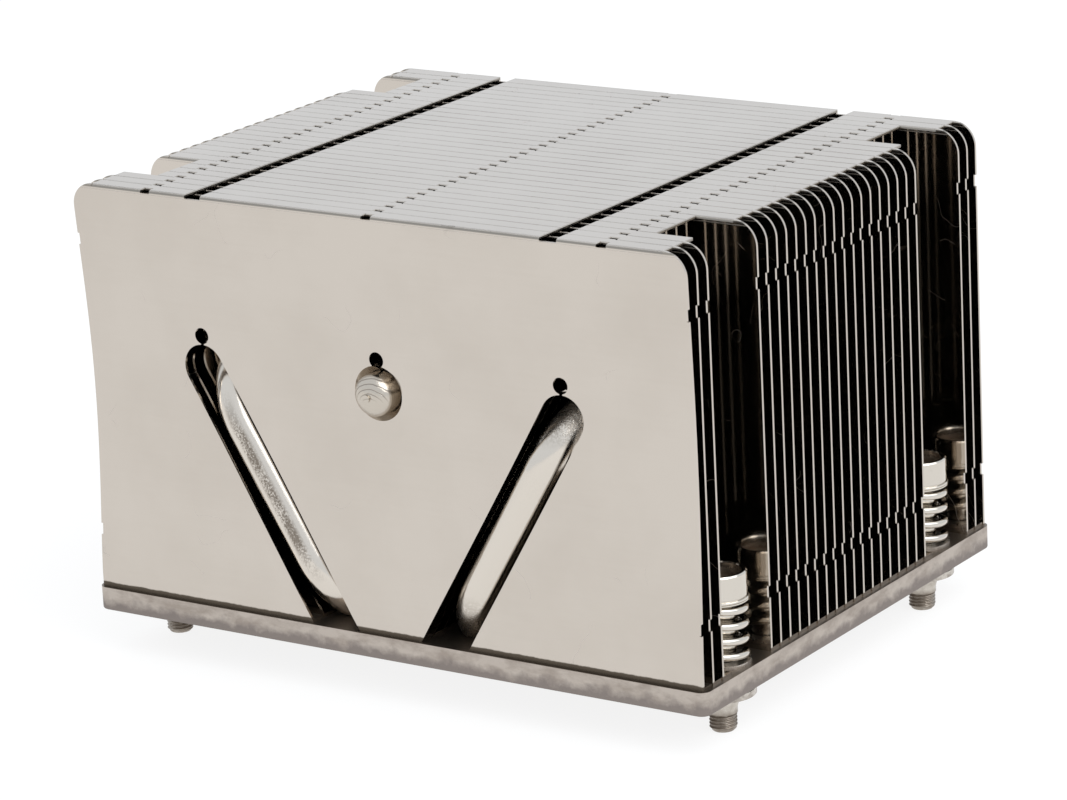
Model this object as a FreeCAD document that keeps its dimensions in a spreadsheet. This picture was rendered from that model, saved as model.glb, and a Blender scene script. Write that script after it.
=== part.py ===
import FreeCAD, Part
import math
import os
import re

# Passive heatsink for a server processor, in millimetres.
# +X runs along the front face, +Y to the back, +Z up. The origin is under the middle of the base
# plate, in the plane of the four screw tips that the part stands on.

Vector = FreeCAD.Vector
Rotation = FreeCAD.Rotation

# ---------------------------------------------------------------- driving sizes

SIZES = {
    # base plate
    "base_thickness": 3.5,
    "base_side": 5.0,               # past the screw axes, left and right
    "base_corner_radius": 1.5,
    "base_edge_radius": 0.35,
    "base_ledge": 0.6,              # past the first and the last fin
    # machined land under the plate, which meets the processor
    "land_width": 64.0,
    "land_depth": 48.0,
    "land_rise": 0.3,
    # fins: folded sheet, one behind the other along Y
    "fin_span": 102.6,
    "fin_rise": 60.7,
    "fin_gauge": 0.4,
    "fin_pitch": 2.545,
    "fin_corner_radius": 3.5,
    "fold_radius": 0.5,             # outside of the fold between plate and top flange
    "flange_seam": 0.05,            # gap between a flange and the next plate
    "foot_inset": 0.15,              # bottom flange stops short of the plate's side
    "outer_rows": 3,                # full rows in front of the front screws, and behind the rear ones
    "well_rows": 4,                 # short rows beside each pair of screws
    "middle_rows": 18,
    "well_clearance": 5.1,          # screw axis to the end of a short fin
    # comb slots through the top flanges, over the outer pipes
    "comb_place": 29.8,
    "comb_gap": 2.75,
    "comb_relief": 0.25,            # how deep the slot bites into the plate below the flange
    # locks that join each flange to the next one
    "lock_place": 38.2,
    "lock_gap": 1.6,
    "lock_reach": 1.2,
    "lock_play": 0.15,
    "tongue_reach": 0.2,
    # shallow nicks in both sides of a full fin
    "nick_depth": 0.3,
    "nick_size": 1.7,
    "lower_nick_place": 8.6,
    "upper_nick_place": 52.2,
    # heat pipes
    "pipe_radius": 3.0,
    "pipe_bend_radius": 10.0,
    "pipe_rise": 35.3,              # lower run to upper run, measured straight up
    "pipe_foot_place": 9.3,         # lower runs of the outer pipes, from the middle
    "pipe_head_place": 30.3,        # upper runs of the outer pipes, from the middle
    "pipe_setback": 0.3,            # the bends stay this far behind the first fin's face
    "pipe_proud": 0.4,              # straight part of an upper run past the fins
    "pipe_dome": 1.7,
    "pipe_nipple_radius": 0.55,
    "pipe_nipple_reach": 0.3,
    "pipe_clearance": 0.06,
    "slot_clearance": 0.45,         # beside a pipe in a slotted fin
    "collar_flare": 0.9,
    "collar_reach": 1.2,
    "paste_hole_radius": 1.18,
    "paste_hole_place": 4.75,       # above the upper run's axis
    "paste_neck": 0.5,
    # captive spring screws
    "screw_spread": 94.0,           # left axis to right axis
    "screw_reach": 6.4,             # underside of the base plate to the tip
    "shank_radius": 2.25,
    "shank_clearance": 0.25,
    "shoulder_radius": 2.05,
    "thread_radius": 1.95,
    "thread_length": 2.6,
    "thread_lead": 0.5,
    "head_radius": 4.0,
    "head_length": 4.2,
    "head_lift": 9.0,               # top of the base plate to the head's underside
    "head_rim": 0.7,
    "head_cup_depth": 1.8,
    "head_collar_radius": 4.2,
    "head_collar_length": 0.6,
    "drive_span": 4.0,
    "drive_gap": 0.95,
    "drive_depth": 1.5,
    "washer_radius": 4.25,
    "washer_thickness": 0.5,
    "spring_wire_radius": 0.55,
    "spring_coil_radius": 3.55,
    "spring_turns": 3.35,
    "spring_start": 45.0,           # degrees round from +X to the wire's lower end
    "clip_radius": 4.75,
    "clip_thickness": 0.9,
    "clip_gap": 3.0,
    "clip_bore_play": 0.05,
    "groove_radius": 1.6,
    "seat_play": 0.05,              # between pieces that turn or slide on each other
}

ROWS = "(2 * outer_rows + 2 * well_rows + middle_rows)"
STACK = f"(({ROWS} - 1) * fin_pitch + fin_gauge)"
FRONT = f"(-{STACK} / 2)"
BASE_TOP = "(screw_reach + base_thickness)"
WELL_MIDDLE = "(outer_rows + well_rows / 2 - 0.5)"
SCREW_DEPTH = f"(({ROWS} - 1) / 2 - {WELL_MIDDLE}) * fin_pitch"
BASE_SPAN = "(screw_spread + 2 * base_side)"
SHORT_SPAN = "(screw_spread - 2 * well_clearance)"
HOLE = "(pipe_radius + pipe_clearance)"
SLOT = "(pipe_radius + slot_clearance)"
BEND_DEPTH = "(pipe_setback + pipe_radius + pipe_bend_radius)"
LEAN = "(pipe_head_place - pipe_foot_place)"
LEANING_RISE = f"sqrt(pow({LEAN}; 2) + pow(pipe_rise; 2))"
LEAN_ANGLE = f"atan({LEAN} / pipe_rise)"
RISER = f"({FRONT} + pipe_setback + pipe_radius)"

doc = FreeCAD.newDocument("heatsink")
cells = doc.addObject("Spreadsheet::Sheet", "cells")
for line, (alias, value) in enumerate(SIZES.items(), start=1):
    cells.set(f"A{line}", alias)
    cells.set(f"B{line}", str(value))
    cells.setAlias(f"B{line}", alias)
doc.recompute()


# ---------------------------------------------------------------- helpers

def formula(text):
    """The text as an expression, with every size read from the sheet."""
    return re.sub(r"[a-z_]+", lambda word: f"cells.{word[0]}" if word[0] in SIZES else word[0], text)


def number(text):
    """The value of a formula, for the few places that choose between shapes."""
    return float(cells.evalExpression(formula(text)))


def place(shape, x="0", y="0", z="0", angle=None):
    """Binds where a shape stands, and how far it turns about the axis it already has."""
    for axis, text in zip("xyz", (x, y, z)):
        shape.setExpression(f"Placement.Base.{axis}", formula(text))
    if angle:
        shape.setExpression("Placement.Rotation.Angle", formula(angle))
    return shape


def primitive(kind, turn=None, at=("0", "0", "0"), angle=None, **sizes):
    """One Part primitive with its sizes bound to the sheet."""
    shape = doc.addObject(f"Part::{kind}", kind.lower())
    if turn:
        shape.Placement = FreeCAD.Placement(Vector(), turn)
    for name, text in sizes.items():
        shape.setExpression(name, formula(text))
    return place(shape, *at, angle=angle)


def box(x, y, z, wide, deep, tall):
    """A box centred on x, from y and z upwards."""
    return primitive("Box", at=(f"({x}) - ({wide}) / 2", y, z), Length=wide, Width=deep, Height=tall)


def post(x, y, z, radius, tall):
    """An upright cylinder."""
    return primitive("Cylinder", at=(x, y, z), Radius=radius, Height=tall)


ALONG_Y = Rotation(Vector(1, 0, 0), -90)


def rod(x, y, z, radius, deep):
    """A cylinder that runs back along Y."""
    return primitive("Cylinder", ALONG_Y, (x, y, z), Radius=radius, Height=deep)


def funnel(x, y, z, front_radius, back_radius, deep):
    """A cone that runs back along Y."""
    return primitive("Cone", ALONG_Y, (x, y, z), Radius1=front_radius, Radius2=back_radius, Height=deep)


def fuse(*shapes):
    joined = doc.addObject("Part::MultiFuse", "fuse")
    joined.Shapes = list(shapes)
    return joined


def group(*shapes):
    gathered = doc.addObject("Part::Compound", "group")
    gathered.Links = list(shapes)
    return gathered


def cut(base, *tools):
    remains = doc.addObject("Part::Cut", "cut")
    remains.Base = base
    remains.Tool = tools[0] if len(tools) == 1 else group(*tools)
    return remains


PIECES = []


def piece(name, shape):
    """Names a finished sub-part."""
    shape.Label = name
    PIECES.append(shape)
    return shape


# ---------------------------------------------------------------- fins

# A fin is modelled with its front face at y = 0 and its foot at z = 0.
SIDES = (-1, 1)
LOCKS = ("-lock_place", "0", "lock_place")


def fin_plate(span, corner):
    """The upright sheet, with round top corners where corner is not zero."""
    if corner == "0":
        return box("0", "0", "0", span, "fin_gauge", "fin_rise")
    shoulder = f"({span}) / 2 - {corner}"
    return fuse(
        box("0", "0", "0", span, "fin_gauge", f"fin_rise - {corner}"),
        box("0", "0", "0", f"2 * ({shoulder})", "fin_gauge", "fin_rise"),
        *[rod(f"{side} * ({shoulder})", "0", f"fin_rise - {corner}", corner, "fin_gauge") for side in SIDES],
    )


def fin_flanges(span, corner, foot):
    """The two folds that run back to the next fin, with the tongues of the locks."""
    reach = "fin_pitch - flange_seam"
    top = "fin_rise - fin_gauge"
    tongue = [
        box(x, f"{reach} - fin_gauge", top, "lock_gap - 2 * lock_play",
            "flange_seam + fin_gauge + tongue_reach", "fin_gauge")
        for x in LOCKS
    ]
    return [
        box("0", "0", top, f"({span}) - 2 * ({corner})", reach, "fin_gauge"),
        box("0", "0", "0", foot, reach, "fin_gauge"),
        *tongue,
    ]


def fold_rounding(span):
    """What the press leaves off along the top fold."""
    return cut(
        box("0", "-1", "fin_rise - fold_radius", span, "1 + fold_radius", "1 + fold_radius"),
        primitive("Cylinder", Rotation(Vector(0, 1, 0), 90),
                  (f"-({span}) / 2 - 1", "fold_radius", "fin_rise - fold_radius"),
                  Radius="fold_radius", Height=f"({span}) + 2"),
    )


def round_hole(x):
    """A collared hole for a straight pipe: the collar's sheet and the hole through it."""
    flare = f"{HOLE} + collar_flare"
    collar = funnel(x, "0", "pipe_rise", flare, f"{HOLE} + fin_gauge", "collar_reach")
    bore = fuse(
        funnel(x, "-0.001", "pipe_rise", flare, HOLE, "collar_reach + 0.001"),
        rod(x, "0", "pipe_rise", HOLE, "fin_pitch"),
    )
    return [collar], [bore]


def paste_hole(x):
    """The small hole above a pipe where solder paste goes in, and its neck."""
    above = "pipe_rise + paste_hole_place"
    return [
        rod(x, "-1", above, "paste_hole_radius", "fin_pitch"),
        box(x, "-1", f"pipe_rise + {SLOT} - fin_gauge", "paste_neck", "fin_pitch",
            f"paste_hole_place - {SLOT}"),
    ]


def foot_notch(x):
    """Room for a pipe that lies in the base plate."""
    return [rod(x, "-1", "0", HOLE, "fin_pitch + 2")]


def leaning_slot(side):
    """A slot from the foot to the upper run, for the bend of an outer pipe."""
    lean = primitive(
        "Box", Rotation(Vector(0, side, 0), 1), Length=f"2 * {SLOT}", Width="fin_pitch + 2",
        Height=f"{LEANING_RISE} + fin_pitch",
    )
    along, across = f"sin({LEAN_ANGLE})", f"cos({LEAN_ANGLE})"
    place(
        lean,
        f"{side} * (pipe_foot_place - fin_pitch * {along}) - {SLOT} * {across}",
        "-1",
        f"-fin_pitch * {across} + {side} * {SLOT} * {along}",
        LEAN_ANGLE,
    )
    return [lean, rod(f"{side} * pipe_head_place", "-1", "pipe_rise", SLOT, "fin_pitch + 2")]


def upright_slot():
    """A slot from the foot to the upper run, for the bend of the middle pipe."""
    return [
        box("0", "-1", "-1", f"2 * {SLOT}", "fin_pitch + 2", "pipe_rise + 1"),
        rod("0", "-1", "pipe_rise", SLOT, "fin_pitch + 2"),
    ]


def fin_pattern(full, slots, flanges=True):
    """One kind of fin. slots is front, rear or none: where a pipe's bend passes through.

    The lower run of a pipe ends before the slots at the other end, so a slotted fin has no notch there.
    """
    span = "fin_span" if full else SHORT_SPAN
    corner = "fin_corner_radius" if full else "0"
    foot = f"({span}) - 2 * foot_inset" if full else span
    sheet, holes = [fin_plate(span, corner)], []
    if flanges:
        sheet += fin_flanges(span, corner, foot)
        holes.append(fold_rounding(f"({span}) - 2 * ({corner})"))
    for side in SIDES:
        holes += paste_hole(f"{side} * pipe_head_place")
        holes.append(box(f"{side} * comb_place", "-1", "fin_rise - fin_gauge - comb_relief", "comb_gap",
                         "fin_pitch + 2", "fin_gauge + comb_relief + 1"))
        if slots == "front":
            holes += leaning_slot(side)
        else:
            collar, bore = round_hole(f"{side} * pipe_head_place")
            sheet += collar
            holes += bore
        if slots == "none":
            holes += foot_notch(f"{side} * pipe_foot_place")
        if full:
            for nick in ("lower_nick_place", "upper_nick_place"):
                holes.append(box(f"{side} * fin_span / 2", "-1", f"{nick} - nick_size / 2",
                                 "2 * nick_depth", "fin_gauge + 1.5", "nick_size"))
    holes += paste_hole("0")
    if slots == "rear":
        holes += upright_slot()
    else:
        collar, bore = round_hole("0")
        sheet += collar
        holes += bore
    if slots == "none":
        holes += foot_notch("0")
    for x in LOCKS:
        holes.append(box(x, "-1", "fin_rise - fin_gauge - lock_play", "lock_gap", "1 + lock_reach",
                         "fin_gauge + lock_play + 1"))
    return cut(fuse(*sheet), *holes)


def bend_rows():
    """How many rows a pipe's bend passes through."""
    return math.ceil(number(f"{BEND_DEPTH} / fin_pitch"))


def fin_kind(row, rows):
    """Which pattern a row needs: full or short, slotted or not, with flanges or not."""
    outer, well = int(number("outer_rows")), int(number("well_rows"))
    from_end = min(row, rows - 1 - row)
    full = from_end < outer or from_end >= outer + well
    slots = "front" if row < bend_rows() else "rear" if rows - 1 - row < bend_rows() else "none"
    return full, slots, row < rows - 1


def screw_relief():
    """Room in a bottom flange for the washer and spring of the screws behind it."""
    front = "(outer_rows - 1) * fin_pitch"
    ahead = f"{WELL_MIDDLE} * fin_pitch - {front}"
    return [post(f"{side} * screw_spread / 2", ahead, "-1", "washer_radius + shank_clearance",
                 "2 + fin_gauge") for side in SIDES]


def make_fins():
    patterns = {}
    relief = screw_relief()
    rows = int(number(ROWS))
    before_wells = (int(number("outer_rows")) - 1, rows - 1 - int(number("outer_rows + well_rows")))
    for row in range(rows):
        kind = fin_kind(row, rows)
        if kind not in patterns:
            patterns[kind] = fin_pattern(*kind)
        pattern = patterns[kind]
        fin = cut(pattern, *relief) if row in before_wells else group(pattern)
        place(fin, "0", f"{FRONT} + {row} * fin_pitch", BASE_TOP)
        piece(f"fin_{row + 1:02d}", fin)


# ---------------------------------------------------------------- heat pipes

def u_pipe(radius, rise, lower_length, upper_length, ends=True):
    """A pipe bent into a U in its own YZ plane: lower run at z = 0, riser at y = 0, both runs to +Y."""
    bend = "pipe_bend_radius"
    lower_turn = Rotation(Vector(0, 0, -1), Vector(0, -1, 0), Vector(-1, 0, 0), "ZXY")
    upper_turn = Rotation(Vector(0, -1, 0), Vector(0, 0, 1), Vector(-1, 0, 0), "ZXY")
    elbow = {"Radius1": bend, "Radius2": radius, "Angle3": "90"}
    parts = [
        rod("0", bend, "0", radius, lower_length),
        primitive("Torus", lower_turn, ("0", bend, bend), **elbow),
    ]
    if ends:
        tip = f"{bend} + {upper_length}"
        parts += [
            post("0", "0", bend, radius, f"{rise} - 2 * {bend}"),
            primitive("Torus", upper_turn, ("0", bend, f"{rise} - {bend}"), **elbow),
            rod("0", bend, rise, radius, upper_length),
            primitive("Ellipsoid", ALONG_Y, ("0", tip, rise),
                      Radius1="pipe_dome", Radius2=radius, Radius3=radius),
            rod("0", tip, rise, "pipe_nipple_radius", "pipe_dome + pipe_nipple_reach"),
        ]
    return fuse(*parts)


def lower_run():
    """A lower run stops at the first row that the other pipes bend through."""
    return f"{STACK} - {BEND_DEPTH} - {bend_rows()} * fin_pitch - fin_gauge"


UPPER_RUN = f"{STACK} - {BEND_DEPTH} + pipe_proud"


def lean_pipe(shape, side):
    """Stands a U pipe in its leaning slots, bend to the front."""
    shape.Placement = FreeCAD.Placement(Vector(), Rotation(Vector(0, side, 0), 1))
    return place(shape, f"{side} * pipe_foot_place", RISER, BASE_TOP, LEAN_ANGLE)


def turn_pipe(shape):
    """Stands a U pipe upright in the middle, bend to the rear."""
    shape.Placement = FreeCAD.Placement(Vector(), Rotation(Vector(0, 0, 1), 180))
    return place(shape, "0", f"-{RISER}", BASE_TOP)


def make_pipes():
    for side, name in zip(SIDES, ("heat_pipe_left", "heat_pipe_right")):
        piece(name, lean_pipe(u_pipe("pipe_radius", LEANING_RISE, lower_run(), UPPER_RUN), side))
    piece("heat_pipe_middle", turn_pipe(u_pipe("pipe_radius", "pipe_rise", lower_run(), UPPER_RUN)))


# ---------------------------------------------------------------- base plate

def make_base():
    deep = f"({STACK} + 2 * base_ledge)"
    slab = box("0", f"-{deep} / 2", "screw_reach", BASE_SPAN, deep, "base_thickness")
    doc.recompute()
    upright = [n for n, edge in enumerate(slab.Shape.Edges, 1) if abs(edge.tangentAt(0).z) > 0.9]
    rounded = doc.addObject("Part::Fillet", "rounded")
    rounded.Base = slab
    rounded.Edges = [(n, number("base_corner_radius"), number("base_corner_radius")) for n in upright]
    doc.recompute()
    low = rounded.Shape.BoundBox.ZMin + 0.001
    under = [n for n, edge in enumerate(rounded.Shape.Edges, 1) if edge.BoundBox.ZMax < low]
    softened = doc.addObject("Part::Fillet", "softened")
    softened.Base = rounded
    softened.Edges = [(n, number("base_edge_radius"), number("base_edge_radius")) for n in under]
    land = box("0", "-land_depth / 2", "screw_reach - land_rise", "land_width", "land_depth", "land_rise")
    groove = f"{lower_run()} + pipe_clearance"
    room = [lean_pipe(u_pipe(HOLE, LEANING_RISE, groove, "0", False), side) for side in SIDES]
    room.append(turn_pipe(u_pipe(HOLE, "pipe_rise", groove, "0", False)))
    holes = [post(f"{x} * screw_spread / 2", f"{y} * {SCREW_DEPTH}", "screw_reach - 1",
                  "shank_radius + shank_clearance", "base_thickness + 2") for x in SIDES for y in SIDES]
    piece("base_plate", cut(fuse(softened, land), *room, *holes))


# ---------------------------------------------------------------- captive screws

# Each screw, spring, washer and clip is modelled on the Z axis with the tip at z = 0.
HEAD_BASE = f"({BASE_TOP} + head_lift)"
CLIP_TOP = "(screw_reach - 2 * seat_play)"


def washer_pattern():
    return cut(
        post("0", "0", BASE_TOP, "washer_radius", "washer_thickness"),
        post("0", "0", f"{BASE_TOP} - 1", "shank_radius + shank_clearance", "washer_thickness + 2"),
    )


def spring_pattern():
    """Round wire wound left-handed between the washer and the screw's head."""
    low = f"{BASE_TOP} + washer_thickness + seat_play + spring_wire_radius"
    tall = "(head_lift - washer_thickness - 2 * seat_play - 2 * spring_wire_radius)"
    coil = primitive("Helix", at=("0", "0", low), Radius="spring_coil_radius",
                     Height=tall, Pitch=f"{tall} / spring_turns")
    coil.LocalCoord = "Left-handed"
    wire = primitive("Circle", Rotation(Vector(1, 0, 0), 90), ("spring_coil_radius", "0", low),
                     Radius="spring_wire_radius")
    wound = doc.addObject("Part::Sweep", "wound")
    wound.Sections = [wire]
    wound.Spine = (coil, ["Edge1"])
    wound.Solid = True
    wound.Frenet = True
    return place(group(wound), angle="spring_start")


def clip_pattern():
    """An open ring in the screw's groove, under the base plate."""
    low = f"{CLIP_TOP} - clip_thickness"
    bore = "groove_radius + clip_bore_play"
    return cut(
        post("0", "0", low, "clip_radius", "clip_thickness"),
        post("0", "0", f"{low} - 1", bore, "clip_thickness + 2"),
        box("0", "0", f"{low} - 1", "clip_gap", "clip_radius + 1", "clip_thickness + 2"),
    )


def screw_pattern():
    """Cup head, plain shank, clip groove, shoulder and thread, turned from one bar."""
    groove_top = f"({CLIP_TOP} + seat_play)"
    groove_base = f"({CLIP_TOP} - clip_thickness - seat_play)"
    body = fuse(
        primitive("Cone", Radius1="thread_radius - thread_lead", Radius2="thread_radius",
                  Height="thread_lead"),
        post("0", "0", "thread_lead", "thread_radius", "thread_length - thread_lead"),
        post("0", "0", "thread_length", "shoulder_radius", f"{groove_base} - thread_length"),
        post("0", "0", groove_base, "groove_radius", f"{groove_top} - {groove_base}"),
        post("0", "0", groove_top, "shank_radius", f"{HEAD_BASE} - {groove_top}"),
        post("0", "0", HEAD_BASE, "head_collar_radius", "head_collar_length"),
        post("0", "0", HEAD_BASE, "head_radius", "head_length"),
    )
    cup_floor = f"({HEAD_BASE} + head_length - head_cup_depth)"
    drive_floor = f"({cup_floor} - drive_depth)"
    return cut(
        body,
        post("0", "0", cup_floor, "head_radius - head_rim", "head_cup_depth + 1"),
        box("0", "-drive_span / 2", drive_floor, "drive_gap", "drive_span", "drive_depth + 1"),
        box("0", "-drive_gap / 2", drive_floor, "drive_span", "drive_gap", "drive_depth + 1"),
    )


def make_screws():
    patterns = {
        "screw": screw_pattern(),
        "spring": spring_pattern(),
        "washer": washer_pattern(),
        "clip": clip_pattern(),
    }
    for y, end in zip(SIDES, ("front", "rear")):
        for x, hand in zip(SIDES, ("left", "right")):
            for name, pattern in patterns.items():
                copy = place(group(pattern), f"{x} * screw_spread / 2", f"{y} * {SCREW_DEPTH}")
                piece(f"{name}_{end}_{hand}", copy)


# ---------------------------------------------------------------- build and write

make_base()
make_fins()
make_pipes()
make_screws()
doc.recompute()

for thing in doc.Objects:
    if "Invalid" in thing.State or "Error" in thing.State:
        raise SystemExit(f"{thing.Label} did not compute")
for node in PIECES:
    if node.Shape.isNull() or not node.Shape.isValid() or len(node.Shape.Solids) != 1:
        raise SystemExit(f"{node.Label} is not one sound solid")

os.makedirs("parts", exist_ok=True)
for node in PIECES:
    node.Shape.exportStep(f"parts/{node.Label}.step")
    box_of = node.Shape.BoundBox
    print(f"{node.Label:22s} {node.Shape.Volume:9.1f} mm3  z {box_of.ZMin:6.2f} to {box_of.ZMax:6.2f}")
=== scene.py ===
# %% [markdown]
# # A passive heatsink for a server processor
#
# The part is a stack of 32 folded aluminium fins on a nickel-plated base, with three bent heat
# pipes through the fins and a spring-loaded screw in each corner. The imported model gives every
# piece at its real size. This notebook dresses it: it gives each piece its metal, and models again
# the few pieces whose look depends on fine shape, which are the front fin, the turned screws and
# the springs.

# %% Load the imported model
import math

import bmesh
import bpy
import numpy as np
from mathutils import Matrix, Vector


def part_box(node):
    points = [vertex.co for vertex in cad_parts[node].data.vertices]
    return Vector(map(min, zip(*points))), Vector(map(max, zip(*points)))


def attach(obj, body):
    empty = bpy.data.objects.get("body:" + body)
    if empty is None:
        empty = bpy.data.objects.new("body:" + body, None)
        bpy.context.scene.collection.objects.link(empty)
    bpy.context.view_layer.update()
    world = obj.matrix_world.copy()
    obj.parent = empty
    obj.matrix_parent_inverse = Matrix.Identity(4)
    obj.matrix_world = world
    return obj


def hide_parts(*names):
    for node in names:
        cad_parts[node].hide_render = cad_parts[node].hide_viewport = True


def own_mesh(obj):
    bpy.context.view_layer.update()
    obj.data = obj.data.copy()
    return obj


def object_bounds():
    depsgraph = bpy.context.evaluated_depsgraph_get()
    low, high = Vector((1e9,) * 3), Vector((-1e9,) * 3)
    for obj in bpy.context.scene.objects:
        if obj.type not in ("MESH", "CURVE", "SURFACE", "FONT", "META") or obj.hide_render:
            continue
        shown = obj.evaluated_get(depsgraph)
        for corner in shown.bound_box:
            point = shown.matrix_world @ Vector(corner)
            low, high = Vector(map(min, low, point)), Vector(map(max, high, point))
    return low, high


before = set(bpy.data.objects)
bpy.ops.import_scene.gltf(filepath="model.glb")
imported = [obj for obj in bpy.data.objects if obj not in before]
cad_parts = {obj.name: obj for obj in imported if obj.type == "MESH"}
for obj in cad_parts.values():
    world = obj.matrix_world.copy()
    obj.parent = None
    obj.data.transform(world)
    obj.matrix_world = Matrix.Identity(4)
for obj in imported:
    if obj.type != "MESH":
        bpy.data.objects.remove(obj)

cad_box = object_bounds()
print("the packed model reaches from", cad_box[0], "to", cad_box[1])

# %% [markdown]
# Everything is in metres. The sizes below are a few millimetres long, so a small factor keeps them
# readable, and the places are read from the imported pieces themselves.

# %% Units, places and the corners' names
MM = 0.001
CORNERS = [(end, hand) for end in ("front", "rear") for hand in ("left", "right")]


def middle(node):
    """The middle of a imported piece."""
    low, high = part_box(node)
    return (low + high) / 2


base_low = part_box("base_plate")[0].z
base_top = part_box("base_plate")[1].z
fin_names = sorted(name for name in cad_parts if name.startswith("fin_"))
print(len(fin_names), "fins stand on a base whose top is at", round(base_top / MM, 2), "mm")

# %% [markdown]
# ## The camera
#
# The camera stands low at the front right corner and looks at the middle of the stack with a long
# lens, so that the upright edges stay nearly parallel. A slight roll tips the picture to one side.

# %% Place the camera
LENS, SENSOR = 155.4172, 36.0
CAMERA_PLACE = (0.362020, -0.529422, 0.223387)
CAMERA_ANGLES = (73.49491, 2.82722, 33.59522)

camera_data = bpy.data.cameras.new("camera")
camera_data.sensor_width = SENSOR
camera_data.lens = LENS
camera_data.clip_start = 10 * MM
camera = bpy.data.objects.new("camera", camera_data)
camera.location = CAMERA_PLACE
camera.rotation_euler = [math.radians(angle) for angle in CAMERA_ANGLES]
bpy.context.scene.collection.objects.link(camera)
bpy.context.scene.camera = camera
print("the camera stands", round(camera.location.length, 3), "m away")

# %% [markdown]
# ## Nodes by the line
#
# Each metal is a small tree of shader nodes. These helpers add a node, set its sockets and join its
# inputs, so that a whole material reads as a few lines. A socket may be given a number, a colour or
# another node's output.

# %% Materials and their nodes


def start_material(name):
    """A new material with an empty tree."""
    material = bpy.data.materials.new(name)
    material.use_nodes = True
    material.node_tree.nodes.clear()
    return material, material.node_tree


def fill(tree, socket, value):
    """Gives a socket its value, or joins it to another node's output."""
    if isinstance(value, bpy.types.NodeSocket):
        tree.links.new(value, socket)
    else:
        socket.default_value = value


def add(tree, kind, settings=None, **sockets):
    """Adds a node. A socket is named, with underscores for spaces, or numbered, as in _0."""
    node = tree.nodes.new("ShaderNode" + kind)
    for key, value in (settings or {}).items():
        setattr(node, key, value)
    for key, value in sockets.items():
        place = int(key[1:]) if key[1:].isdigit() else key.replace("_", " ")
        fill(tree, node.inputs[place], value)
    return node


def maths(tree, operation, *values):
    """The result of one operation on numbers and other nodes' outputs."""
    numbered = {f"_{index}": value for index, value in enumerate(values)}
    return add(tree, "Math", {"operation": operation}, **numbered).outputs[0]


def show(tree, shader):
    """Ends a material with its output."""
    tree.links.new(shader, tree.nodes.new("ShaderNodeOutputMaterial").inputs["Surface"])


def show_metal(tree, colour, roughness, normal):
    """Ends a material as bare metal."""
    surface = add(tree, "BsdfPrincipled", Base_Color=colour, Metallic=1.0, Roughness=roughness,
                  Normal=normal)
    show(tree, surface.outputs["BSDF"])


def dress(node, material):
    """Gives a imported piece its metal."""
    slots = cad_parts[node].data.materials
    slots.clear()
    slots.append(material)


print("a material can be started, filled with nodes and given to a piece")

# %% [markdown]
# These helpers make what the metals share. Noise gives stains and grain. A ramp turns noise, or a
# height, into a colour or a mask. The height is read from the mesh's own points, which hold each
# piece's place in the part. A bump tilts the shading, and a blend mixes two colours.

# %% Noise, ramps, heights and bumps


def pattern(tree, size, stretch=(1, 1, 1), detail=4.0, roughness=0.55):
    """Noise with features of about the given size in metres, stretched along the axes."""
    place = add(tree, "TexCoord").outputs["Object"]
    scaled = add(tree, "Mapping", Vector=place, Scale=tuple(1 / (size * s) for s in stretch))
    texture = add(tree, "TexNoise", Vector=scaled.outputs["Vector"], Scale=1.0, Detail=detail,
                  Roughness=roughness)
    return texture.outputs["Fac"]


def ramp(tree, value, stops):
    """A ramp: stops are pairs of a place and a colour or a grey."""
    node = add(tree, "ValToRGB", Fac=value)
    elements = node.color_ramp.elements
    for index, (place, colour) in enumerate(stops):
        stop = elements[index] if index < 2 else elements.new(place)
        stop.position = place
        grey = isinstance(colour, (int, float))
        stop.color = (colour, colour, colour, 1) if grey else (*colour, 1)
    return node.outputs["Color"]


def height_over(tree, low, high, wander=0.0, size=2.0 * MM):
    """A value that goes from 0 at one height to 1 at another, with a border that may wander."""
    place = add(tree, "TexCoord").outputs["Object"]
    height = add(tree, "SeparateXYZ", Vector=place).outputs["Z"]
    value = maths(tree, "MULTIPLY_ADD", height, 1 / (high - low), -low / (high - low))
    if wander:
        noise = pattern(tree, size, roughness=0.6)
        value = maths(tree, "ADD", value, maths(tree, "MULTIPLY_ADD", noise, wander, -wander / 2))
    return value


def bump(tree, height, strength, distance, below=None):
    """A bumped normal, over another one if that is given."""
    sockets = dict(Height=height, Strength=strength, Distance=distance)
    if below is not None:
        sockets["Normal"] = below
    return add(tree, "Bump", **sockets).outputs["Normal"]


def blend_of(tree, share, first, second):
    """Mixes two colours, each a plain colour or another node's output."""
    node = add(tree, "Mix", {"data_type": "RGBA"}, _0=share)
    # of a Mix node's pairs of sockets, 4 and 5 take vectors, and 6 and 7 take colours
    for place, colour in ((6, first), (7, second)):
        fill(tree, node.inputs[place], (*colour, 1) if isinstance(colour, tuple) else colour)
    return node.outputs[2]


print("the helpers for materials are ready")

# %% [markdown]
# ## Fin sheet
#
# The fins are thin aluminium sheet, plated so smoothly that they're close to mirrors with a warm
# tint. That is why the gaps between them look black: light that enters bounces from fin to fin and
# loses a share each time. A rough metal would scatter it back out and turn the gaps grey. So the
# roughness stays low, and the life of the surface comes from faint stains, from hairline scratches
# and from a bump so small that reflections only waver. The scratches are the contour lines of a
# soft noise, let through in a few places by a second noise.

# %% The fins' sizes and colours
SHEET_CLEAN, SHEET_STAINED = (0.59, 0.54, 0.485), (0.56, 0.51, 0.455)
# the fold's colour and the cut ends' colour are painted shade, and the foot's colour is a dark brown
# band
FOLD_SHADE, CUT_END_SHADE, FOOT_BROWN = (0.21, 0.195, 0.17), (0.03, 0.025, 0.02), (0.12, 0.098, 0.075)

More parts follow.
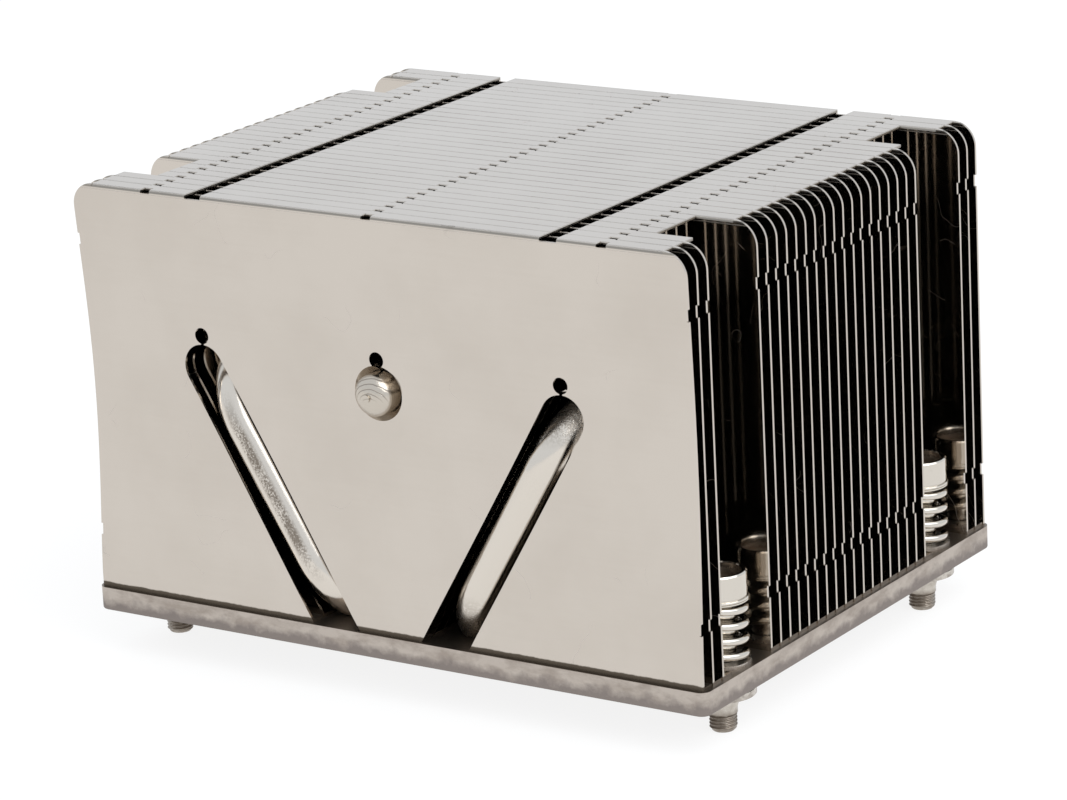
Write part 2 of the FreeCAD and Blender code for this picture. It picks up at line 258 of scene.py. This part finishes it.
fin_low, fin_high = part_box("fin_01")
fin_top = fin_high.z
short_names = [name for name in fin_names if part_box(name)[1].x < fin_high.x - 5 * MM]
short_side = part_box(short_names[0])[1].x
print(len(short_names), "of the fins are short ones, beside the screws")

# %% Scratch the sheet


def hairlines(tree, size, width, shown):
    """Thin curved scratches: where a soft noise crosses its middle, and a second one allows it."""
    away = maths(tree, "ABSOLUTE", maths(tree, "SUBTRACT", pattern(tree, size, detail=1.5), 0.5))
    line = ramp(tree, away, [(0.0, 1.0), (width, 0.0)])
    gate = ramp(tree, pattern(tree, size * 0.8, stretch=(1, 1.3, 1.2), detail=1),
                [(shown, 0.0), (shown + 0.04, 1.0)])
    return maths(tree, "MULTIPLY", line, gate)


print("scratches can be drawn without a picture")

# %% [markdown]
# Five places on the sheet differ. The outside of each fold is dull, as the sheet was stretched there,
# and its colour is darkened with painted shade. The edges sheared inside the long slots are rough, just
# below the flanges. The stack was pressed flat on top, so there the shading leans upright and the
# folds' shoulders don't show. The short fins' cut ends, in the wells beside the screws, carry painted
# shade, most low down. The front fin's foot is a dark brown band. Each place is a mask that follows
# height, so it needs no picture, and one function makes all three kinds of fin.

# %% Make the fin sheet


def fold_bands(tree):
    """Two bands under the top: the fold's dull outside, darkened with painted shade, and the slots'
    sheared edges.
    """
    fold_shade_and_dullness = ramp(tree, height_over(tree, fin_top - 0.6 * MM, fin_top),
                     [(0.15, 0.0), (0.35, 0.75), (0.68, 0.75), (0.76, 0.0)])
    sheared = ramp(tree, height_over(tree, fin_top - 1.0 * MM, fin_top),
                   [(0.20, 0.0), (0.27, 1.0), (0.37, 1.0), (0.41, 0.0)])
    return fold_shade_and_dullness, sheared


def shaded_cut_ends(tree, side):
    """Painted shade on a short fin's cut ends, in the well beside a screw, fading towards the top."""
    place = add(tree, "TexCoord").outputs["Object"]
    aside = maths(tree, "ABSOLUTE", add(tree, "SeparateXYZ", Vector=place).outputs["X"])
    at_end = maths(tree, "GREATER_THAN", aside, side)
    below = ramp(tree, height_over(tree, fin_top - 14 * MM, fin_top), [(0.0, 1.0), (0.6, 0.0)])
    return maths(tree, "MULTIPLY", at_end, below)


def dark_band_at_foot(tree):
    """A dark brown band at a fin's foot, with an uneven upper border."""
    up = height_over(tree, base_top, base_top + 1.0 * MM, wander=0.35, size=1.6 * MM)
    return ramp(tree, up, [(0.62, 1.0), (0.80, 0.0)])


def sheet_metal(name, shaded_end=None, dark_foot=False):
    """The fins' sheet. A short fin has painted shade on its cut ends, and the front fin a dark brown
    band at its foot.
    """
    material, tree = start_material(name)
    stains = pattern(tree, 16 * MM)
    streaks = pattern(tree, 1.2 * MM, stretch=(14, 14, 0.35), detail=3)
    mixed = maths(tree, "MULTIPLY_ADD", streaks, 0.12, maths(tree, "MULTIPLY", stains, 0.88))
    scratches = hairlines(tree, 9 * MM, 0.004, 0.60)
    colour = ramp(tree, mixed, [(0.34, SHEET_STAINED), (0.62, SHEET_CLEAN)])
    roughness = ramp(tree, mixed, [(0.34, 0.10), (0.66, 0.06)])
    roughness = maths(tree, "MULTIPLY_ADD", scratches, 0.3, roughness)
    if shaded_end:
        # painted shade on the cut ends inside the wells, darker lower down
        colour = blend_of(tree, shaded_cut_ends(tree, shaded_end), colour, CUT_END_SHADE)
    if dark_foot:
        # a dark brown band at the front fin's foot, where it meets the base
        foot_band = dark_band_at_foot(tree)
        colour = blend_of(tree, foot_band, colour, FOOT_BROWN)
        roughness = maths(tree, "MAXIMUM", roughness, maths(tree, "MULTIPLY", foot_band, 0.5))
    fold_shade_and_dullness, sheared = fold_bands(tree)
    # painted shade: the fold's outside is darkened in colour, while its dullness is set in the
    # roughness
    colour = blend_of(tree, fold_shade_and_dullness, colour, FOLD_SHADE)
    for rough_place in (fold_shade_and_dullness, sheared):
        roughness = maths(tree, "MULTIPLY_ADD", rough_place, 0.32, roughness)
    wave = bump(tree, stains, 0.05, 0.3 * MM)
    cut = bump(tree, scratches, 0.25, 0.02 * MM, below=wave)
    pressed = ramp(tree, height_over(tree, fin_top - 0.2 * MM, fin_top), [(0.10, 0.0), (0.35, 1.0)])
    upright = add(tree, "Mix", {"data_type": "VECTOR"}, _0=pressed, _4=cut, _5=(0, 0, 1))
    show_metal(tree, colour, roughness, upright.outputs[1])
    return material


fin_sheet = sheet_metal("bright_fin_sheet")
front_sheet = sheet_metal("front_fin_sheet", dark_foot=True)
short_sheet = sheet_metal("short_fin_sheet", shaded_end=short_side - 0.05 * MM)
for name in fin_names:
    dress(name, short_sheet if name in short_names else fin_sheet)
print("the fins have their sheet")

# %% [markdown]
# ## The front fin
#
# The first fin has no neighbour in front to hold it, and handling has pressed it in a little between
# its folded top and its foot: it bows backwards over its whole width, and most at the left edge.
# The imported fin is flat, so a copy of its mesh is cut into a grid first, because a bend needs points
# to move. Each point then shifts back along Y by a smooth curve that is nought at top and foot.

# %% Turn meshes into pieces


def new_object(name, mesh):
    """Turns a bmesh into an object of the scene."""
    data = bpy.data.meshes.new(name)
    mesh.to_mesh(data)
    mesh.free()
    made = bpy.data.objects.new(name, data)
    bpy.context.scene.collection.objects.link(made)
    return made


def new_piece(name, mesh, material, body="root"):
    """Turns a bmesh into a piece of metal that rides on a body."""
    piece = new_object(name, mesh)
    piece.data.materials.append(material)
    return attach(piece, body)


print("a mesh can become a piece that rides on a body")

# %% Bow the front fin
WIDE_BOW, LEFT_BOW = 0.68 * MM, 0.95 * MM
LEFT_SHARE = 0.30               # of the fin's width, where the left edge's own bow fades out
STIFF_EDGE = 0.03               # of its height, at top and foot, that stays straight
GRID_CUTS = ((0, 33), (2, 25))  # an axis, and the number of places along it, ends included
TINY = 1e-7


def cut_across(mesh, axis, places):
    """Cuts a mesh with planes across an axis, so that it can bend."""
    normal = Vector([1.0 if index == axis else 0.0 for index in range(3)])
    for place in places:
        geometry = mesh.verts[:] + mesh.edges[:] + mesh.faces[:]
        bmesh.ops.bisect_plane(mesh, geom=geometry, plane_co=normal * place, plane_no=normal,
                               dist=TINY)


def bow_at(x, z):
    """How far the front fin is pressed in at a place."""
    along = (x - fin_low.x) / (fin_high.x - fin_low.x)
    deep = WIDE_BOW + LEFT_BOW * max(0.0, 1 - along / LEFT_SHARE) ** 2
    up = (z - fin_low.z) / (fin_high.z - fin_low.z)
    free = (up - STIFF_EDGE) / (1 - 2 * STIFF_EDGE)
    return deep * math.sin(math.pi * min(max(free, 0.0), 1.0)) ** 1.2


bowed = bmesh.new()
bowed.from_mesh(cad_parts["fin_01"].data)
bmesh.ops.remove_doubles(bowed, verts=bowed.verts[:], dist=TINY)
for axis, count in GRID_CUTS:
    cut_across(bowed, axis, np.linspace(fin_low[axis], fin_high[axis], count)[1:-1])
for point in bowed.verts:
    point.co.y += bow_at(point.co.x, point.co.z)
front_fin = new_piece("front_fin_bowed", bowed, front_sheet)
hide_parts("fin_01")
print("the front fin bows", round((WIDE_BOW + LEFT_BOW) / MM, 2), "mm at its left edge and has",
      len(front_fin.data.polygons), "faces")

# %% [markdown]
# ## Base plate
#
# The base is a milled plate with a dull nickel plating. Its sides are mottled brown and grey, darker
# towards the underside, with an uneven border between the two tones. Its top, round the feet of the
# fins, is dark brown. All of that follows height on the plate, so the colour is driven by height plus
# a noise that makes each border wander.

# %% Plate the base
BASE_PALE, BASE_MOTTLED, BASE_DARK = (0.51, 0.455, 0.405), (0.37, 0.32, 0.28), (0.27, 0.235, 0.215)
TOP_BROWN = (0.20, 0.165, 0.135)


def milled_plating(name):
    """Dull nickel on milled metal, darker low down and brown on top."""
    material, tree = start_material(name)
    cloud = pattern(tree, 2.6 * MM, stretch=(2.2, 2.2, 1), detail=6, roughness=0.65)
    fine = pattern(tree, 0.45 * MM, roughness=0.6)
    side = ramp(tree, cloud, [(0.38, BASE_MOTTLED), (0.58, BASE_PALE)])
    up = height_over(tree, base_low, base_top, wander=0.9, size=2.4 * MM)
    # darker towards the bottom of the sides
    lower = ramp(tree, up, [(0.30, 1.0), (0.62, 0.0)])
    tone = blend_of(tree, lower, side, BASE_DARK)
    # dark brown on the top face
    on_top = height_over(tree, base_top - 0.10 * MM, base_top, wander=0.5, size=1.3 * MM)
    darkened = ramp(tree, on_top, [(0.55, 0.0), (0.85, 1.0)])
    colour = blend_of(tree, darkened, tone, TOP_BROWN)
    dull = maths(tree, "MULTIPLY_ADD", lower, 0.12, 0.30)
    roughness = maths(tree, "MULTIPLY_ADD", fine, 0.18, dull)
    waves = bump(tree, cloud, 0.5, 0.10 * MM)
    show_metal(tree, colour, roughness, bump(tree, fine, 0.35, 0.05 * MM, below=waves))
    return material


dress("base_plate", milled_plating("milled_base_nickel"))
print("the base plate, from", round(base_low / MM, 2), "to", round(base_top / MM, 2), "mm, is plated")

# %% [markdown]
# ## Heat pipes
#
# The pipes are copper tube with a bright satin nickel plating. Bending and pushing them through the
# fins has rubbed them in bands: there the plating is grainy and dark, and between the bands it is
# smooth, so a bright streak runs along the tube. The bands follow height, so each pipe has its own
# list of heights and how worn it is there, and on the left pipe the wear keeps to a lane.

# %% The pipes' places and wear
PIPE_PALE, PIPE_DARK = (0.67, 0.62, 0.555), (0.24, 0.205, 0.17)
PIPE_HIGH = 60 * MM
TUBE_RADIUS = 3.0 * MM
# pairs of a height in millimetres and how worn the tube is there
WORN_BANDS = {
    "left": ((16, 0.0), (21, 1.0), (36, 1.0), (42, 0.0)),
    "middle": ((10, 0.1), (40, 0.1), (45, 0.3), (50, 0.3)),
    "right": ((12, 0.6), (18, 0.0), (40, 0.0), (45, 1.0)),
}

tube_low, tube_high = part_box("heat_pipe_right")
tube_foot = Vector((tube_low.x + TUBE_RADIUS, 0, tube_low.z + TUBE_RADIUS))
tube_top = Vector((tube_high.x - TUBE_RADIUS, 0, tube_high.z - TUBE_RADIUS))
print("the outer pipes' axes go from", tube_foot, "to", tube_top)

# %% Rub the tube


def lane_across(tree, lean):
    """Where a point lies across a leaning tube, from 0 at its lower side to 1 at its upper side."""
    place = add(tree, "TexCoord").outputs["Object"]
    rise, run = tube_top.z - tube_foot.z, tube_top.x - tube_foot.x
    long = math.hypot(rise, run)
    unit = Vector((-lean * rise, 0, run)) / long / (2 * TUBE_RADIUS)
    start = Vector((lean * (tube_top.x + tube_foot.x) / 2, 0, (tube_top.z + tube_foot.z) / 2))
    spot = add(tree, "VectorMath", {"operation": "DOT_PRODUCT"}, _0=place, _1=tuple(unit))
    return maths(tree, "ADD", spot.outputs["Value"], 0.5 - unit.dot(start))


def satin_tube(tree, bands, across=None):
    """The wear, the colour and the bump of a tube. The wear may keep to a lane along its middle."""
    grains = pattern(tree, 0.30 * MM, detail=3, roughness=0.7)
    patches = pattern(tree, 3.0 * MM, stretch=(0.7, 1, 1.8))
    along = height_over(tree, 0.0, PIPE_HIGH, wander=0.05, size=5 * MM)
    share = ramp(tree, along, [(height * MM / PIPE_HIGH, worn) for height, worn in bands])
    if across is not None:
        lane = ramp(tree, across, [(0.40, 0.0), (0.50, 1.0), (0.66, 1.0), (0.76, 0.0)])
        share = maths(tree, "MULTIPLY", share, lane)
    spots = maths(tree, "MULTIPLY_ADD", grains, 0.8, maths(tree, "MULTIPLY", patches, 0.4))
    worn = maths(tree, "MULTIPLY", share, ramp(tree, spots, [(0.50, 0.0), (0.64, 1.0)]))
    colour = blend_of(tree, worn, PIPE_PALE, PIPE_DARK)
    dents = bump(tree, patches, 0.10, 0.25 * MM)
    grainy = maths(tree, "MULTIPLY", worn, grains)
    return worn, colour, bump(tree, grainy, 0.6, 0.06 * MM, below=dents)


print("a tube can be worn in", len(WORN_BANDS), "ways")

# %% [markdown]
# The middle pipe's closed end, at the front, was turned while it was pinched shut, which left arcs
# on it. They are rings of a wave texture round a point just below the end's middle, and only those
# on its upper half are shown.

# %% Plate the pipes
END_PALE = (0.56, 0.51, 0.445)
end_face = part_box("heat_pipe_middle")[0].y


def arcs(tree, centre, above):
    """Arc scratches round a point on the middle pipe's closed end, above a height only."""
    place = add(tree, "TexCoord").outputs["Object"]
    moved = add(tree, "VectorMath", {"operation": "SUBTRACT"}, _0=place, _1=centre).outputs[0]
    rings = add(tree, "TexWave", {"wave_type": "RINGS", "rings_direction": "Y"}, Vector=moved,
                Scale=0.50 / MM, Distortion=2.5, Detail=2.0, Detail_Scale=0.8)
    lines = ramp(tree, rings.outputs["Fac"], [(0.0, 1.0), (0.20, 0.0)])
    up = height_over(tree, above, above + 2.0 * MM, wander=0.5)
    return maths(tree, "MULTIPLY", lines, ramp(tree, up, [(0.0, 0.0), (0.6, 0.8)]))


def rubbed_plating(place):
    """One pipe's plating, with its own wear."""
    material, tree = start_material(f"{place}_pipe_nickel")
    across = lane_across(tree, -1) if place == "left" else None
    worn, colour, normal = satin_tube(tree, WORN_BANDS[place], across)
    if place == "middle":
        centre = (0.4 * MM, end_face, tube_top.z - 1.2 * MM)
        lines = arcs(tree, centre, tube_top.z - 0.6 * MM)
        colour = blend_of(tree, lines, END_PALE, PIPE_DARK)
        normal = bump(tree, lines, 0.5, -0.05 * MM, below=normal)
    show_metal(tree, colour, maths(tree, "MULTIPLY_ADD", worn, 0.25, 0.17), normal)
    return material


for place in WORN_BANDS:
    dress(f"heat_pipe_{place}", rubbed_plating(place))
print("three heat pipes are plated")

# %% [markdown]
# ## Washers and clips
#
# A washer carries each spring on the base, and a clip in each screw's groove, under the base, keeps
# the screw from falling out. Both are stamped from thin steel, and their solids already have the
# right shape, so they only need a metal: two greys in small spots over a fine pitted bump.

# %% Dress the washers and clips
STAMPED_PALE, STAMPED_DARK = (0.60, 0.56, 0.51), (0.36, 0.32, 0.28)


def stamped_plating(name):
    """Thin stamped steel."""
    material, tree = start_material(name)
    spots = pattern(tree, 1.2 * MM, detail=5, roughness=0.65)
    fine = pattern(tree, 0.3 * MM, detail=3)
    colour = ramp(tree, spots, [(0.36, STAMPED_DARK), (0.56, STAMPED_PALE)])
    roughness = ramp(tree, spots, [(0.36, 0.48), (0.60, 0.26)])
    show_metal(tree, colour, roughness, bump(tree, fine, 0.25, 0.04 * MM))
    return material


stamped_steel = stamped_plating("stamped_clip_steel")
for end, hand in CORNERS:
    for small in ("washer", "clip"):
        dress(f"{small}_{end}_{hand}", stamped_steel)
print("four washers and four clips have their steel")

# %% [markdown]
# ## Captive screws
#
# Each screw is turned from one bar, so its shape is a profile spun about its axis, and the same
# holds in mesh code: a list of radii and heights, turned once round. Only two parts of it aren't
# round: the thread, whose radius depends on the angle too, and the cross for the driver, which is
# cut out of the cup's floor. Screws and springs share one bright steel. It turns dull and dark where
# the mesh marks it: with soil in the thread, and with painted shade in the cup.

# %% Make the turned steel
BRIGHT_STEEL = (0.64, 0.60, 0.54)


def turned_steel(name, soiled_and_shaded):
    """Bright plated steel with a lathe's fine rings. Values on the mesh's points make it dull and dark:
    soil, and painted shade in a screw's cup.
    """
    material, tree = start_material(name)
    marks = pattern(tree, 0.10 * MM, stretch=(60, 60, 1), detail=2)
    spots = pattern(tree, 1.2 * MM, detail=5, roughness=0.65)
    soil_and_shade = add(tree, "Attribute", {"attribute_name": "soil_and_shade"}).outputs["Fac"]
    amount = maths(tree, "MULTIPLY_ADD", spots, 0.6, soil_and_shade)
    darkened = ramp(tree, amount, [(0.38, 0.0), (1.15, 1.0)])
    colour = blend_of(tree, darkened, BRIGHT_STEEL, soiled_and_shaded)
    roughness = maths(tree, "MULTIPLY_ADD", darkened, 0.35, 0.12)
    show_metal(tree, colour, roughness, bump(tree, marks, 0.08, 0.02 * MM))
    return material


# the dark colour stands for soil, and in the screws' cups for painted shade
screw_steel = turned_steel("turned_screw_steel", soiled_and_shaded=(0.22, 0.18, 0.145))
spring_steel = turned_steel("spring_wire_steel", soiled_and_shaded=(0.24, 0.20, 0.165))
print("the turned parts have their steels")

# %% The screw's sizes
SPOKES = 72
THREAD_RINGS = 53
THREAD_TOP = 2.6 * MM
THREAD_PITCH = 0.5 * MM
THREAD_DEPTH = 0.22 * MM
THREAD_RADIUS = 1.95 * MM
TIP_CHAMFER = 0.45 * MM
# pairs of radius and height above the tip, in millimetres, from the thread up and over into the cup
SCREW_PROFILE = (
    (2.05, 2.6), (2.05, 3.3), (2.60, 5.35), (1.60, 5.35), (1.60, 6.35), (2.25, 6.35), (2.25, 18.9),
    (4.10, 18.9), (4.20, 19.00), (4.20, 19.14), (4.08, 19.19), (4.20, 19.24), (4.20, 19.42),
    (4.12, 19.50), (3.90, 19.54), (3.90, 19.68), (4.00, 19.74), (4.00, 22.88), (3.82, 23.10),
    (3.44, 23.10), (3.30, 22.96), (3.30, 21.30), (2.05, 21.30),
)
CUP_RADIUS, CUP_RIM = 3.4 * MM, 22.9 * MM
CROSS_LOW, CROSS_HIGH = 19.8 * MM, 21.4 * MM
CROSS_WIDE, CROSS_LONG = 0.95 * MM, 4.0 * MM
widest, longest = (max(values) for values in zip(*SCREW_PROFILE))
print("a screw is", longest, "mm long and", 2 * widest, "mm across its head")

# %% Spin a profile


def spin(mesh, rings):
    """Joins rings of points into a tube with closed ends."""
    made = [[mesh.verts.new(point) for point in ring] for ring in rings]
    for lower, upper in zip(made, made[1:]):
        for k in range(len(lower)):
            after = (k + 1) % len(lower)
            mesh.faces.new((lower[k], lower[after], upper[after], upper[k]))
    mesh.faces.new(reversed(made[0]))
    mesh.faces.new(made[-1])
    bmesh.ops.recalc_face_normals(mesh, faces=mesh.faces[:])


def ring_of(radius, height):
    """One ring of the turned shape. The radius may be a function of the angle."""
    points = []
    for k in range(SPOKES):
        angle = 2 * math.pi * k / SPOKES
        r = radius(angle) if callable(radius) else radius
        points.append(Vector((r * math.cos(angle), r * math.sin(angle), height)))
    return points


def thread_radius(height):
    """The thread's radius at a height, for each angle: a ridge that climbs one pitch a turn."""
    fade = min(1.0, height / TIP_CHAMFER)
    crest = THREAD_RADIUS - TIP_CHAMFER * (1 - fade)

    def at(angle):
        phase = (height / THREAD_PITCH - angle / (2 * math.pi)) % 1.0
        valley = 0.5 + 0.5 * math.cos(2 * math.pi * phase)
        return crest - THREAD_DEPTH * valley * fade

    return at


def turned_screw(name, x, y, body):
    """A screw at a place, without its driver cross."""
    mesh = bmesh.new()
    rings = [ring_of(thread_radius(h), h) for h in np.linspace(0, THREAD_TOP, THREAD_RINGS)]
    rings += [ring_of(radius * MM, height * MM) for radius, height in SCREW_PROFILE]
    spin(mesh, rings)
    bmesh.ops.translate(mesh, verts=mesh.verts[:], vec=(x, y, 0))
    return new_piece(name, mesh, screw_steel, body)


print("a screw's mesh has", THREAD_RINGS + len(SCREW_PROFILE), "rings")

# %% Cut the driver's cross


def cross_cutter(x, y):
    """Two crossed bars, to cut the driver's slots out of the cup's floor."""
    mesh = bmesh.new()
    for wide, deep in ((CROSS_WIDE, CROSS_LONG), (CROSS_LONG, CROSS_WIDE)):
        bar = bmesh.ops.create_cube(mesh, size=1.0)["verts"]
        bmesh.ops.scale(mesh, verts=bar, vec=(wide, deep, CROSS_HIGH - CROSS_LOW))
        bmesh.ops.translate(mesh, verts=bar, vec=(x, y, (CROSS_LOW + CROSS_HIGH) / 2))
    return new_object("driver_cross", mesh)


def cut_away(piece, cutter):
    """Cuts one mesh out of another, and throws the cutter away."""
    change = piece.modifiers.new("cut", "BOOLEAN")
    change.object = cutter
    change.solver = "EXACT"
    change.use_self = True
    bpy.context.view_layer.update()
    result = piece.evaluated_get(bpy.context.evaluated_depsgraph_get())
    shaped = bpy.data.meshes.new_from_object(result)
    piece.modifiers.clear()
    piece.data = shaped
    bpy.data.objects.remove(cutter)


print("the driver's cross is", round((CROSS_HIGH - CROSS_LOW) / MM, 2), "mm from bottom to top")

# %% Soil and shade the screws and set them in place
# the cup's value paints shade into the recess; the thread's and the base's values are soil
THREAD_SOIL, SHOULDER_SOIL, CUP_SHADE = 0.55, 0.25, 0.8
MARGIN = 0.1 * MM


def soil_and_shade_at(radius, height):
    """How dark the screw is made: painted shade in the cup, soil in the thread and a little in the
    base, else clean.
    """
    if height < THREAD_TOP + MARGIN:
        return THREAD_SOIL
    if height < base_top:
        return SHOULDER_SOIL
    in_cup = radius < CUP_RADIUS and CROSS_LOW - MARGIN < height < CUP_RIM
    return CUP_SHADE if in_cup else 0.0


def write_soil_and_shade(piece, x, y):
    """Stores how dark each point of a screw is made, by soil and by painted shade, for its steel to
    read.
    """
    values = [soil_and_shade_at(math.hypot(point.co.x - x, point.co.y - y), point.co.z)
              for point in piece.data.vertices]
    piece.data.attributes.new("soil_and_shade", "FLOAT", "POINT").data.foreach_set("value", values)


for end, hand in CORNERS:
    spot = middle(f"screw_{end}_{hand}")
    screw = turned_screw(f"turned_screw_{end}_{hand}", spot.x, spot.y, f"screw_{end}_{hand}")
    cut_away(screw, cross_cutter(spot.x, spot.y))
    write_soil_and_shade(screw, spot.x, spot.y)
    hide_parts(f"screw_{end}_{hand}")
print("four screws turned, with", len(screw.data.polygons), "faces each")

# %% [markdown]
# ## Springs
#
# A compression spring is round wire wound on a mandrel, here left-handed and with plain ends, so its
# turns are evenly spaced all the way. The wire's centre is a helix, and a circle swept along it
# gives the wire.

# %% Wind the springs
WIRE_RADIUS, COIL_RADIUS = 0.55 * MM, 3.55 * MM
TURNS, STEPS_A_TURN, WIRE_SIDES = 3.35, 44, 16
FIRST_ANGLE = math.radians(45)


def wire_ring(centre, out):
    """A circle round the wire, across the way that it runs."""
    turns = (2 * math.pi * side / WIRE_SIDES for side in range(WIRE_SIDES))
    return [centre + out * (WIRE_RADIUS * math.cos(turn)) + Vector((0, 0, WIRE_RADIUS * math.sin(turn)))
            for turn in turns]


def wound_spring(name, x, y, low, high):
    """A left-handed coil between two heights."""
    mesh = bmesh.new()
    count = int(TURNS * STEPS_A_TURN)
    rings = []
    for k in range(count + 1):
        angle = FIRST_ANGLE - 2 * math.pi * TURNS * k / count
        out = Vector((math.cos(angle), math.sin(angle), 0))
        height = low + WIRE_RADIUS + (high - low - 2 * WIRE_RADIUS) * k / count
        rings.append(wire_ring(Vector((x, y, height)) + out * COIL_RADIUS, out))
    spin(mesh, rings)
    return new_piece(name, mesh, spring_steel)


for end, hand in CORNERS:
    node = f"spring_{end}_{hand}"
    spot = middle(f"screw_{end}_{hand}")
    low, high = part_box(node)
    spring = wound_spring(f"wound_{node}", spot.x, spot.y, low.z, high.z)
    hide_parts(node)
    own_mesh(spring)
print("four springs wound, each", round((high.z - low.z) / MM, 2), "mm long")

# %% [markdown]
# ## Smooth shading
#
# New meshes arrive with flat facets. Shading them by angle keeps the folds and rims crisp while the
# round faces turn smooth.

# %% Shade by angle
SHARP_ANGLE = math.radians(32)


def shade_by_angle(piece):
    """Smooth shading, with an edge left sharp where its faces meet at more than the angle."""
    data = piece.data
    mesh = bmesh.new()
    mesh.from_mesh(data)
    sharp = [edge.index for edge in mesh.edges
             if len(edge.link_faces) != 2 or edge.calc_face_angle(0) > SHARP_ANGLE]
    mesh.free()
    marks = np.zeros(len(data.edges), bool)
    marks[sharp] = True
    kept = data.attributes.get("sharp_edge")
    attribute = kept or data.attributes.new("sharp_edge", "BOOLEAN", "EDGE")
    attribute.data.foreach_set("value", marks)
    data.polygons.foreach_set("use_smooth", np.ones(len(data.polygons), bool))


turned = [bpy.data.objects[f"turned_screw_{end}_{hand}"] for end, hand in CORNERS]
wound = [bpy.data.objects[f"wound_spring_{end}_{hand}"] for end, hand in CORNERS]
for piece in turned + wound + [front_fin]:
    shade_by_angle(piece)
print(len(turned + wound) + 1, "remade pieces are shaded by angle")

# %% [markdown]
# ## The room
#
# A metal part shows what is around it. A pale floor and a white room, a little cooler than the floor,
# give the fins their even brightness. The floor is white to the camera and in reflections, and still
# takes a soft shadow, so its surface is a mix of light of its own and plain white paint. Both lamps
# stand to the right, where the folds, which run from side to side, can't mirror them as white lines.

# %% Lay the floor
FLOOR_HALF = 4.0


def pale_floor():
    """White to the camera and in reflections, and plain paint to all other light."""
    material, tree = start_material("pale_floor")
    path = add(tree, "LightPath")
    seen = maths(tree, "MAXIMUM", path.outputs["Is Camera Ray"], path.outputs["Is Glossy Ray"])
    share = maths(tree, "MULTIPLY", seen, 0.80)
    paint = add(tree, "BsdfDiffuse", Color=(0.86, 0.86, 0.86, 1)).outputs[0]
    glow = add(tree, "Emission", Color=(1, 1, 1, 1), Strength=1.06).outputs[0]
    show(tree, add(tree, "MixShader", _0=share, _1=paint, _2=glow).outputs[0])
    return material


floor_mesh = bmesh.new()
bmesh.ops.create_grid(floor_mesh, x_segments=1, y_segments=1, size=FLOOR_HALF)
floor = new_object("floor", floor_mesh)
floor.data.materials.append(pale_floor())
floor.location.z = cad_box[0].z
print("the floor lies at", round(floor.location.z / MM, 2), "mm")

# %% Light the room
COOL_WHITE = (0.89, 0.93, 0.98)
LAMP_AIM = Vector((0, 0, 35 * MM))

world = bpy.data.worlds.new("white_room")
bpy.context.scene.world = world
world.use_nodes = True
tree = world.node_tree
tree.nodes.clear()
path = add(tree, "LightPath")
seen = maths(tree, "MAXIMUM", path.outputs["Is Camera Ray"], path.outputs["Is Transmission Ray"])
sky = add(tree, "Background", Color=blend_of(tree, seen, COOL_WHITE, (1, 1, 1)), Strength=1.0)
tree.links.new(sky.outputs[0], tree.nodes.new("ShaderNodeOutputWorld").inputs["Surface"])


def soft_lamp(name, place, size, watts):
    """A square lamp that faces the part."""
    data = bpy.data.lights.new(name, "AREA")
    data.size = size
    data.energy = watts
    lamp = bpy.data.objects.new(name, data)
    lamp.location = place
    lamp.rotation_euler = (LAMP_AIM - Vector(place)).to_track_quat("-Z", "Y").to_euler()
    bpy.context.scene.collection.objects.link(lamp)


soft_lamp("key_lamp", (0.7, -0.5, 0.9), size=0.9, watts=5.0)
soft_lamp("fill_lamp", (0.9, 0.1, 0.9), size=1.0, watts=4.0)
bpy.context.scene.view_settings.view_transform = "Standard"
print("the room has a white sky and two soft lamps")
